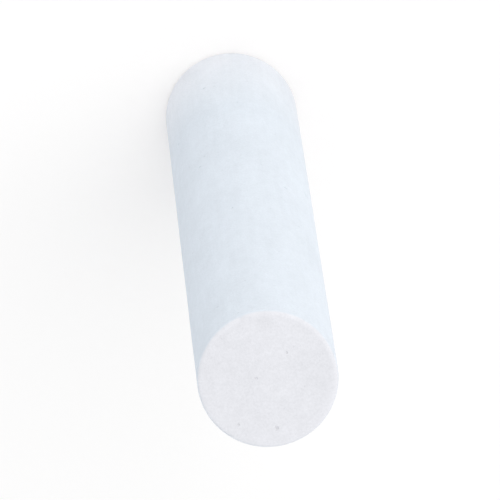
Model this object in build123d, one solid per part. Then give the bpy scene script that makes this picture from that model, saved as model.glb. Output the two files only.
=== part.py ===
from build123d import *
import os

# A round stick of board chalk, cast in one piece in a drafted mould, scraped level at the mould's
# open top and pushed out that way once it has set.
# Millimetres, +Z up. The stick stands on its wide scraped end, and the origin is the centre of that end.

# Driving dimensions
stick_length = 80.0
wide_end_diameter = 10.0  # at the open top of the mould
narrow_end_diameter = 9.5  # at the floor of the mould
struck_edge_radius = 0.25  # round the wide end, where the scraped edge has crumbled a little
moulded_edge_radius = 0.35  # round the narrow end, left by the corner of the mould's floor


def drafted_body():
    """The stick as it leaves the mould, turned from half of its section: struck foot, sloping wall, top."""
    struck_corner = (wide_end_diameter / 2, 0)
    moulded_corner = (narrow_end_diameter / 2, stick_length)
    with BuildPart() as body:
        with BuildSketch(Plane.XZ):
            with BuildLine():
                Polyline((0, 0), struck_corner, moulded_corner, (0, stick_length), close=True)
            make_face()
        revolve(axis=Axis.Z)
    return body.part


def soften_ends(body):
    """Rounds the edge of each end by its own radius. The flat inside the rounding is the face itself."""
    struck_edge = body.edges().filter_by(GeomType.CIRCLE).sort_by(Axis.Z)[0]
    body = fillet(struck_edge, struck_edge_radius)
    moulded_edge = body.edges().filter_by(GeomType.CIRCLE).sort_by(Axis.Z)[-1]
    return fillet(moulded_edge, moulded_edge_radius)


chalk_stick = soften_ends(drafted_body())

os.makedirs("parts", exist_ok=True)
export_step(chalk_stick, "parts/chalk_stick.step")
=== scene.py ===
import math
import random

import bmesh
import bpy
from mathutils import Matrix, Vector, kdtree, noise


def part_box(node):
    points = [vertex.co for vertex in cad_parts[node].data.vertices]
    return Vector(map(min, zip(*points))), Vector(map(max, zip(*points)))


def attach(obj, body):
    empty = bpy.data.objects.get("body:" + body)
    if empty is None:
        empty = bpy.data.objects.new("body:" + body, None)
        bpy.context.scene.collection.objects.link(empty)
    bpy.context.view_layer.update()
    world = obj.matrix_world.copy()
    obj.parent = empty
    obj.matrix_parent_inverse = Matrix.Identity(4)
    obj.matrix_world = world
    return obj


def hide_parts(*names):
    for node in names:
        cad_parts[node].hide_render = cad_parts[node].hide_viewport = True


# Frame
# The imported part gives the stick's real size and place, in metres, with its foot at the origin.
# The stick's length and radii are read from it below.
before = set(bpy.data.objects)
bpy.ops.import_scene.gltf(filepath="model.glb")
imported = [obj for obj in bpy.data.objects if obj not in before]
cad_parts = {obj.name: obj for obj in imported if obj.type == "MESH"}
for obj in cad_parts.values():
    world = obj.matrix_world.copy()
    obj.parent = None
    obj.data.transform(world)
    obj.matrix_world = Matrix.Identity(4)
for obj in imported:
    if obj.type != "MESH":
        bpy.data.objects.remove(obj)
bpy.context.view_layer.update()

# Cast stick
# The stick is one casting of white gypsum chalk, poured into a round drafted mould that is open at
# its top. It was scraped level there and pushed out that way, and it stands on that wide end.
mm = 0.001
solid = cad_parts["chalk_stick"]
low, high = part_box("chalk_stick")
stick_length = high.z - low.z
wide_radius = (high.x - low.x) / 2
top_band = 1.0 * mm  # deep enough to hold the upper end of the wall
narrow_radius = max(v.co.xy.length for v in solid.data.vertices if v.co.z > high.z - top_band)
weld_gap = 0.0001 * mm


def flat_radius(height):
    """The radius of the solid's flat end that lies at this height."""
    return max(v.co.xy.length for v in solid.data.vertices if abs(v.co.z - height) < weld_gap)


struck_edge_radius = wide_radius - flat_radius(low.z)
moulded_edge_radius = narrow_radius - flat_radius(high.z)
edge_segments = 6
segments_round = 256
fine_band = 6.0 * mm  # the length of wall next to each end that is modelled more finely
end_ring = 0.13 * mm
fine_row = 0.14 * mm
wall_row = 0.4 * mm


def wall_radius(height):
    """The radius of the drafted wall at this height."""
    return wide_radius + (narrow_radius - wide_radius) * height / stick_length


def ring_spacing(run):
    """How far apart the rings of the mesh are along this run of the profile."""
    height = (run.verts[0].co.z + run.verts[1].co.z) / 2
    from_end = min(height, stick_length - height)
    if from_end < struck_edge_radius / 2:
        return end_ring
    return fine_row if from_end < fine_band else wall_row


cast = bmesh.new()
upper_band = stick_length - fine_band
profile = [
    (0, 0),
    (wide_radius, 0),
    (wall_radius(fine_band), fine_band),
    (wall_radius(upper_band), upper_band),
    (narrow_radius, stick_length),
    (0, stick_length),
]
corners = [cast.verts.new((radius, 0, height)) for radius, height in profile]
for corner, following in zip(corners, corners[1:]):
    cast.edges.new((corner, following))
for corner, radius in ((corners[1], struck_edge_radius), (corners[-2], moulded_edge_radius)):
    bmesh.ops.bevel(
        cast,
        geom=[corner],
        affect="VERTICES",
        offset=radius,
        segments=edge_segments,
        profile=0.5,
        material=-1,
    )
for run in list(cast.edges):
    bmesh.ops.subdivide_edges(cast, edges=[run], cuts=int(run.calc_length() / ring_spacing(run)))
bmesh.ops.spin(
    cast,
    geom=cast.verts[:] + cast.edges[:],
    cent=(0, 0, 0),
    axis=(0, 0, 1),
    angle=math.tau,
    steps=segments_round,
    use_merge=True,
)
bmesh.ops.remove_doubles(cast, verts=cast.verts, dist=weld_gap)
bmesh.ops.recalc_face_normals(cast, faces=cast.faces)
cast.normal_update()

# Wall and ends
# The wet casting shrinks a little unevenly in its mould, and the scraper drags shallow parallel marks
# across the foot as it levels the chalk there. The mould's floor leaves the top almost smooth.
sway_height = 0.018 * mm
sway_length = 14 * mm
ripple_height = 0.006 * mm
ripple_length = 2.4 * mm
dimple_depth = 0.006 * mm
scrape_depth = 0.014 * mm
scrape_width = 0.34 * mm
scrape_length = 9 * mm
scrape_angle = math.radians(28)
flat_end = 0.99  # how squarely a face looks up or down where it counts as the flat of an end


def patchy(place):
    """Smooth noise from 0 to 1."""
    return (1 + noise.noise(place)) / 2


def unevenness(place):
    """How far the wall stands proud of its true form: a long sway with a short ripple on it."""
    sway = noise.noise(place / sway_length) * sway_height
    return sway + noise.noise(place / ripple_length) * ripple_height


def scrape(place):
    """How deep the scraper's marks are at a place on the struck face."""
    turned = Matrix.Rotation(scrape_angle, 3, "Z") @ place
    return patchy((turned.x / scrape_length, turned.y / scrape_width, 0)) * scrape_depth


for vert in cast.verts:
    if vert.normal.z < -flat_end:
        vert.co.z += scrape(vert.co)
    elif vert.normal.z > flat_end:
        vert.co.z -= patchy(vert.co / ripple_length) * dimple_depth
    else:
        vert.co += vert.normal * unevenness(vert.co)

# Pinholes
# Bubbles that stay against the mould's wall, or come up under the scraper, leave small round pits in
# the chalk. They are few, and most are smaller than half a millimetre across.
wall_holes = 34
struck_holes = 6
moulded_holes = 2
smallest_hole = 0.10 * mm
largest_wall_hole = 0.32 * mm
largest_end_hole = 0.17 * mm
hole_rarity = 2  # the higher this power, the fewer large holes
hole_depth_share = 0.75  # of the hole's radius
hole_floor_power = 3  # the higher it is, the flatter the hole's floor
hole_reach_share = 0.92  # of an end's flat radius that its holes keep within
rim_waver = 0.2
waver_length = 0.15 * mm
draw_seed = 11
draw = random.Random(draw_seed)


def hole_radius(largest):
    """A random radius up to the largest, more often a small one."""
    return smallest_hole + (largest - smallest_hole) * draw.random() ** hole_rarity


def around(radius, height):
    """A place at a random angle round the stick's axis."""
    turn = draw.uniform(0, math.tau)
    return Vector((radius * math.cos(turn), radius * math.sin(turn), height))


holes = []
for _ in range(wall_holes):
    height = draw.uniform(fine_band / 2, stick_length - fine_band / 2)
    holes.append((around(wall_radius(height), height), hole_radius(largest_wall_hole)))
for count, height in ((struck_holes, 0), (moulded_holes, stick_length)):
    reach = flat_radius(height) * hole_reach_share
    for _ in range(count):
        place = around(reach * math.sqrt(draw.random()), height)
        holes.append((place, hole_radius(largest_end_hole)))
hole_finder = kdtree.KDTree(len(holes))
for number, (place, _) in enumerate(holes):
    hole_finder.insert(place, number)
hole_finder.balance()


def beyond_hole(place):
    """How far a place lies outside the rim of the nearest hole, and that hole's radius."""
    _, number, distance = hole_finder.find(place)
    radius = holes[number][1]
    return distance - radius, radius


# The mesh is cut finer at each hole: first the long rows of the wall, then everything in the hole.
row_edge = 0.2 * mm
hole_edge = 0.07 * mm
hole_margin = 0.06 * mm
cuts_in_edge = 2
most_corners = 4
for longest_edge, margin in ((row_edge, wall_row), (hole_edge, hole_margin)):
    coarse = []
    for edge in cast.edges:
        middle = (edge.verts[0].co + edge.verts[1].co) / 2
        if edge.calc_length() > longest_edge and beyond_hole(middle)[0] < margin:
            coarse.append(edge)
    bmesh.ops.subdivide_edges(cast, edges=coarse, cuts=cuts_in_edge, use_grid_fill=True)
many_sided = [face for face in cast.faces if len(face.verts) > most_corners]
bmesh.ops.triangulate(cast, faces=many_sided, quad_method="BEAUTY", ngon_method="BEAUTY")
cast.normal_update()
# Each hole's depth, which the chalk material also reads to paint shade inside the hole.
hole_depth_and_shade = cast.verts.layers.float.new("hole_depth_and_shade")
for vert in cast.verts:
    beyond, radius = beyond_hole(vert.co)
    from_middle = (beyond + radius) / radius * (1 + rim_waver * noise.noise(vert.co / waver_length))
    if from_middle < 1:
        vert[hole_depth_and_shade] = 1 - from_middle ** hole_floor_power
        vert.co -= vert.normal * vert[hole_depth_and_shade] * radius * hole_depth_share

# Crumbled edges
# Dry chalk is weak, so handling rubs its edges to a pale powder. The sharp scraped edge has lost small
# grains all round, and the moulded edge a few. Each loss is a shallow scoop with a rough floor.
struck_crumble = 0.04 * mm
moulded_crumble = 0.015 * mm
crumble_length = 0.4 * mm
rub_patch = 1.5 * mm
steepest_wall = 0.05  # how much the wall's own faces may look up or down
rubbed = cast.verts.layers.float.new("rubbed")
for vert in cast.verts:
    on_edge = steepest_wall < abs(vert.normal.z) < flat_end
    if on_edge and not vert[hole_depth_and_shade]:
        vert[rubbed] = patchy(vert.co / rub_patch)
        crumble = moulded_crumble if vert.normal.z > 0 else struck_crumble
        vert.co -= vert.normal * crumble * patchy(vert.co / crumble_length)

struck_scoops = 46
moulded_scoops = 16
smallest_scoop = 0.35 * mm
largest_scoop = 1.1 * mm
scoop_rarity = 4  # the higher this power, the fewer large scoops
bite_share = 0.22  # of the scoop's radius that reaches into the stick, at most
least_bite = 0.6  # of that reach
scoop_roughness = 0.12
scoop_grain = 0.22 * mm
grains = list(cast.verts)
grain_finder = kdtree.KDTree(len(grains))
for number, vert in enumerate(grains):
    grain_finder.insert(vert.co, number)
grain_finder.balance()


def scoop(centre, radius):
    """Pushes what lies inside a rough ball back to its skin. The fresh break isn't rubbed."""
    for _, number, _ in grain_finder.find_range(centre, radius * (1 + scoop_roughness)):
        vert = grains[number]
        outward = vert.co - centre
        rough = radius * (1 + scoop_roughness * noise.noise(vert.co / scoop_grain))
        if outward.length < rough:
            vert.co = centre + outward.normalized() * rough
            vert[rubbed] = 0


# Each ball's middle stands off the edge's corner along the diagonal, out and away from the stick.
corner_diagonal = math.sqrt(2)
for count, height, edge_radius, away in (
    (struck_scoops, 0, wide_radius, -1),
    (moulded_scoops, stick_length, narrow_radius, 1),
):
    for _ in range(count):
        radius = smallest_scoop + (largest_scoop - smallest_scoop) * draw.random() ** scoop_rarity
        stand_off = radius * (1 - bite_share * draw.uniform(least_bite, 1)) / corner_diagonal
        scoop(around(edge_radius + stand_off, height + away * stand_off), radius)

# Chalk
# Dried chalk is a matte mass of fine crystals with loose powder on it: faintly clouded, grainy close
# up, drawn into fine lines by the mould's wall, scraped at its foot and rubbed pale at its edges.


def meshed(name, shape):
    """The finished mesh of a shape, which is then let go."""
    mesh = bpy.data.meshes.new(name)
    shape.to_mesh(mesh)
    shape.free()
    return mesh


def placed(name, data):
    """A new object of the scene, at the origin."""
    made = bpy.data.objects.new(name, data)
    bpy.context.scene.collection.objects.link(made)
    return made


chalk_mesh = meshed("cast_chalk", cast)
chalk_mesh.shade_smooth()
chalk_piece = placed("cast_chalk", chalk_mesh)
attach(chalk_piece, "root")
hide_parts("chalk_stick")

powder_scatter = 0.7
faint_gloss = 0.25
chalk = bpy.data.materials.new("chalk")
chalk.use_nodes = True
tree = chalk.node_tree
shader = tree.nodes["Principled BSDF"]
shader.inputs["Diffuse Roughness"].default_value = powder_scatter
shader.inputs["Specular IOR Level"].default_value = faint_gloss
chalk_mesh.materials.append(chalk)


def node(kind, sockets=None, **settings):
    """A new node of the tree in hand, with its settings, and its sockets set or linked."""
    made = tree.nodes.new(kind)
    for name, value in settings.items():
        setattr(made, name, value)
    for name, value in (sockets or {}).items():
        if isinstance(value, bpy.types.NodeSocket):
            tree.links.new(value, made.inputs[name])
        else:
            made.inputs[name].default_value = value
    return made


def worked_out(operation, first, second):
    """The result of one operation on two values."""
    return node("ShaderNodeMath", {0: first, 1: second}, operation=operation).outputs[0]


def spread(value, given, wanted):
    """The value, with its given range stretched to the wanted one and held at the ends."""
    given_range = {"From Min": given[0], "From Max": given[1]}
    wanted_range = {"To Min": wanted[0], "To Max": wanted[1]}
    return node("ShaderNodeMapRange", {"Value": value, **given_range, **wanted_range}).outputs["Result"]


def cloud(vector, size, detail=3, roughness=0.55):
    """Soft noise with features of about this size."""
    sockets = {"Vector": vector, "Scale": 1 / size, "Detail": detail, "Roughness": roughness}
    return node("ShaderNodeTexNoise", sockets).outputs["Fac"]


def stretched(vector, scale, turn=0):
    """The vector, turned about the stick's axis and scaled. A small scale draws a pattern out."""
    sockets = {"Vector": vector, "Scale": scale, "Rotation": (0, 0, turn)}
    return node("ShaderNodeMapping", sockets).outputs["Vector"]


rising = (0, 1)
falling = (1, 0)


def specks(vector, cell, reach):
    """Round specks, where the surface cuts the middle of a cell: 1 at the core and 0 past the rim."""
    cells = node("ShaderNodeTexVoronoi", {"Vector": vector, "Scale": 1 / cell})
    return spread(cells.outputs["Distance"], reach, falling)


def painted(name):
    """The value that a layer of the mesh holds."""
    return node("ShaderNodeAttribute", attribute_name=name).outputs["Fac"]


def blended(share, first_colour, second_colour):
    """One colour giving way to another. A Mix node's colours are inputs 6 and 7 and output 2."""
    sockets = {0: share, 6: first_colour, 7: second_colour}
    return node("ShaderNodeMix", sockets, data_type="RGBA").outputs[2]


# Where on the stick a point is.
end_depth = (0.1 * mm, 0.3 * mm)  # where the look of an end gives way to the wall's
point = node("ShaderNodeTexCoord").outputs["Object"]
rise = node("ShaderNodeSeparateXYZ", {"Vector": point}).outputs["Z"]
nearest_end = worked_out("MINIMUM", rise, worked_out("SUBTRACT", stick_length, rise))
on_end = spread(nearest_end, end_depth, falling)
on_foot = spread(rise, end_depth, falling)
on_wall = worked_out("SUBTRACT", 1, on_end)

# Clouds and smudges, drawn out along the stick.
cloud_size = 3.5 * mm
smudge_size = 6 * mm
cloud_stretch = (1, 1, 0.3)
drawn_point = stretched(point, cloud_stretch)
clouding = cloud(drawn_point, cloud_size, detail=4)
smudges = cloud(drawn_point, smudge_size)

# Loose powder, and the grain of the crystals under it.
powder_size = 0.7 * mm
powder_stretch = (1, 1, 0.4)
grain_size = 0.15 * mm
powder = cloud(stretched(point, powder_stretch), powder_size, detail=4, roughness=0.7)
grain = cloud(point, grain_size, detail=2, roughness=0.65)

# Fine lines from the mould's wall, scuffs from handling, and the scraper's lines on the foot.
line_width = 0.45 * mm
line_stretch = (1, 1, 0.025)
scuff_width = 0.5 * mm
scuff_stretch = (1, 1, 0.12)
scrape_line_width = 0.3 * mm
scrape_stretch = (0.045, 1, 1)
draw_lines = cloud(stretched(point, line_stretch), line_width)
scuffs = cloud(stretched(point, scuff_stretch), scuff_width, detail=4, roughness=0.65)
scrapes = cloud(stretched(point, scrape_stretch, scrape_angle), scrape_line_width)

# Pores that are finer than the modelled holes.
pore_cell = 1.7 * mm
pore_reach = (0.03, 0.06)  # from a pore's middle to its core's edge and its rim, in cells
fine_pore_cell = 0.6 * mm
fine_pore_reach = (0.05, 0.1)
pores = specks(point, pore_cell, pore_reach)
fine_pores = specks(point, fine_pore_cell, fine_pore_reach)

# Painted light: the wall grows paler and plainer towards the foot, in patches that follow the smudges.
most = (0.3, 0.7)  # the range that most of a cloud's values lie in
foot_light_reach = (0, 18 * mm)
foot_light_cover = (0.6, 0)
foot_light_patches = (0.6, 1.4)
foot_light_patch = spread(smudges, most, foot_light_patches)
foot_light = worked_out("MULTIPLY", spread(rise, foot_light_reach, foot_light_cover), foot_light_patch)

# Colour, with painted light: the wall is a cooler, darker white for cool shade on the sides, and the
# ends a paler, plainer one for warm light on them. Each pattern makes it darker or paler.
wall_colour_with_cool_shade = (0.797, 0.839, 0.897, 1)
end_colour_with_warm_light = (0.871, 0.862, 0.889, 1)
grain_most = (0.25, 0.75)
palest_smudges = (0.52, 0.72)
palest_scuffs = (0.6, 0.72)
cloud_shade = (-0.03, 0.014)
smudge_shade = (0, 0.026)
powder_shade = (-0.025, 0.018)
grain_shade = (-0.045, 0.03)
scuff_shade = (0, 0.022)
line_shade = (-0.014, 0.01)
pore_shade = (0, -0.06)
fine_pore_shade = (0, -0.035)
# Painted shade in the holes.
painted_hole_shade = (0, -0.05)
rubbed_shade = (0, 0.045)
# Painted light towards the foot.
foot_light_gain = (0, 0.04)
shade = 1
for change in (
    spread(clouding, most, cloud_shade),
    spread(smudges, palest_smudges, smudge_shade),
    spread(powder, most, powder_shade),
    spread(grain, grain_most, grain_shade),
    spread(scuffs, palest_scuffs, scuff_shade),
    worked_out("MULTIPLY", on_wall, spread(draw_lines, most, line_shade)),
    worked_out("MULTIPLY", on_foot, spread(scrapes, most, line_shade)),
    spread(pores, rising, pore_shade),
    spread(fine_pores, rising, fine_pore_shade),
    # Painted shade: darker in the holes.
    spread(painted("hole_depth_and_shade"), rising, painted_hole_shade),
    spread(painted("rubbed"), rising, rubbed_shade),
    # Painted light: paler towards the foot.
    spread(foot_light, rising, foot_light_gain),
):
    shade = worked_out("ADD", shade, change)
# Painted light: the wall's cool-shaded colour gives way to the ends' warm-lit one, and to it again
# towards the foot.
painted_light_tone = blended(worked_out("MAXIMUM", on_end, foot_light), wall_colour_with_cool_shade, end_colour_with_warm_light)
shaded = node("ShaderNodeVectorMath", {"Vector": painted_light_tone, "Scale": shade}, operation="SCALE")
tree.links.new(shaded.outputs["Vector"], shader.inputs["Base Color"])

# Roughness and fine relief follow the same patterns.
grain_roughness = (0.86, 0.98)
line_depth = 0.012 * mm
powder_depth = 0.03 * mm
grain_depth = 0.03 * mm
fine_pore_depth = 0.02 * mm
pore_depth = 0.06 * mm
relief_strength = 0.7
tree.links.new(spread(grain, grain_most, grain_roughness), shader.inputs["Roughness"])
wall_lines = worked_out("MULTIPLY", on_wall, draw_lines)
foot_lines = worked_out("MULTIPLY", on_foot, scrapes)
normal = None
for pattern, depth, sunk in (
    (worked_out("ADD", wall_lines, foot_lines), line_depth, False),
    (powder, powder_depth, False),
    (grain, grain_depth, False),
    (fine_pores, fine_pore_depth, True),
    (pores, pore_depth, True),
):
    relief = {"Height": pattern, "Distance": depth, "Strength": relief_strength}
    if normal:
        relief["Normal"] = normal
    normal = node("ShaderNodeBump", relief, invert=sunk).outputs["Normal"]
tree.links.new(normal, shader.inputs["Normal"])

# Floor
# A plain matte white sheet that the stick stands on. It shows white to the camera and keeps the
# stick's soft shadow.
floor_radius = 2.5
floor_segments = 96
floor_drop = 0.02 * mm  # below the foot, so that the two faces don't share a place
floor_colour = (0.862, 0.861, 0.860, 1)
floor_lift = (0.180, 0.157, 0.143, 1)  # what is added to the lit sheet where it is seen directly
sheet = bmesh.new()
bmesh.ops.create_circle(sheet, cap_ends=True, segments=floor_segments, radius=floor_radius)
bmesh.ops.translate(sheet, verts=sheet.verts, vec=(0, 0, -floor_drop))
floor_mesh = meshed("floor", sheet)
floor = placed("floor", floor_mesh)
white_sheet = bpy.data.materials.new("white_sheet")
white_sheet.use_nodes = True
tree = white_sheet.node_tree
tree.nodes.clear()


def seen_directly():
    """1 for a ray from the camera, a reflection or a refraction, and 0 for one that lights a surface."""
    path = node("ShaderNodeLightPath").outputs
    seen = worked_out("MAXIMUM", path["Is Camera Ray"], path["Is Glossy Ray"])
    return worked_out("MAXIMUM", seen, path["Is Transmission Ray"])


lit = node("ShaderNodeBsdfDiffuse", {"Color": floor_colour}).outputs[0]
lifted = node("ShaderNodeEmission", {"Color": floor_lift, "Strength": seen_directly()}).outputs[0]
both = node("ShaderNodeAddShader", {0: lit, 1: lifted}).outputs[0]
node("ShaderNodeOutputMaterial", {"Surface": both})
floor_mesh.materials.append(white_sheet)

# Light
# A pale room gives soft, slightly cool light from all round, and is plain white where it is seen
# directly. One broad warm lamp hangs above the side of the stick that the camera sees.
room_level = 0.87
room_colour = (0.940, 0.975, 1.0, 1)
plain_white = (1, 1, 1, 1)
world = bpy.data.worlds.new("room")
bpy.context.scene.world = world
world.use_nodes = True
tree = world.node_tree
tree.nodes.clear()
fill = node("ShaderNodeBackground", {"Color": room_colour, "Strength": room_level}).outputs[0]
backdrop = node("ShaderNodeBackground", {"Color": plain_white, "Strength": 1}).outputs[0]
room = node("ShaderNodeMixShader", {0: seen_directly(), 1: fill, 2: backdrop}).outputs[0]
node("ShaderNodeOutputWorld", {"Surface": room})

lamp_size = 1.0
lamp_distance = 0.9
lamp_power = 2.4
lamp_colour = (1.0, 0.955, 0.90)
lamp_azimuth = math.radians(222)
lamp_height = math.radians(47)
stick_middle = Vector((0, 0, stick_length / 2))
towards_lamp = Vector((
    math.cos(lamp_height) * math.cos(lamp_azimuth),
    math.cos(lamp_height) * math.sin(lamp_azimuth),
    math.sin(lamp_height),
))
lamp_light = bpy.data.lights.new("lamp", "AREA")
lamp_light.shape = "DISK"
lamp_light.size = lamp_size
lamp_light.energy = lamp_power
lamp_light.color = lamp_colour
lamp = placed("lamp", lamp_light)
lamp.location = stick_middle + towards_lamp * lamp_distance
lamp.rotation_euler = towards_lamp.to_track_quat("Z", "Y").to_euler()

# Camera
# It looks down on the narrow end from about 14 degrees off the stick's axis, as in the photograph,
# and is rolled so that the foot lies further off, higher in the picture and a little to the left.
off_axis = math.radians(13.8)
lean = math.radians(7.9)
camera_distance = 0.56  # from the middle of the narrow end, along the line of sight
picture_width = 33.5 * mm  # of what is seen at that distance
aim_share = 0.54  # of the stick's length, up from its foot
turn = Matrix.Rotation(off_axis, 4, "X") @ Matrix.Rotation(math.pi - lean, 4, "Z")
aim = Vector((0, 0, stick_length * aim_share))
aim_distance = camera_distance + (stick_length - aim.z) * math.cos(off_axis)
lens_data = bpy.data.cameras.new("camera")
lens_data.lens = lens_data.sensor_width * camera_distance / picture_width
camera = placed("camera", lens_data)
camera.matrix_world = Matrix.Translation(aim) @ turn @ Matrix.Translation((0, 0, aim_distance))
bpy.context.scene.camera = camera
bpy.context.scene.view_settings.view_transform = "Standard"
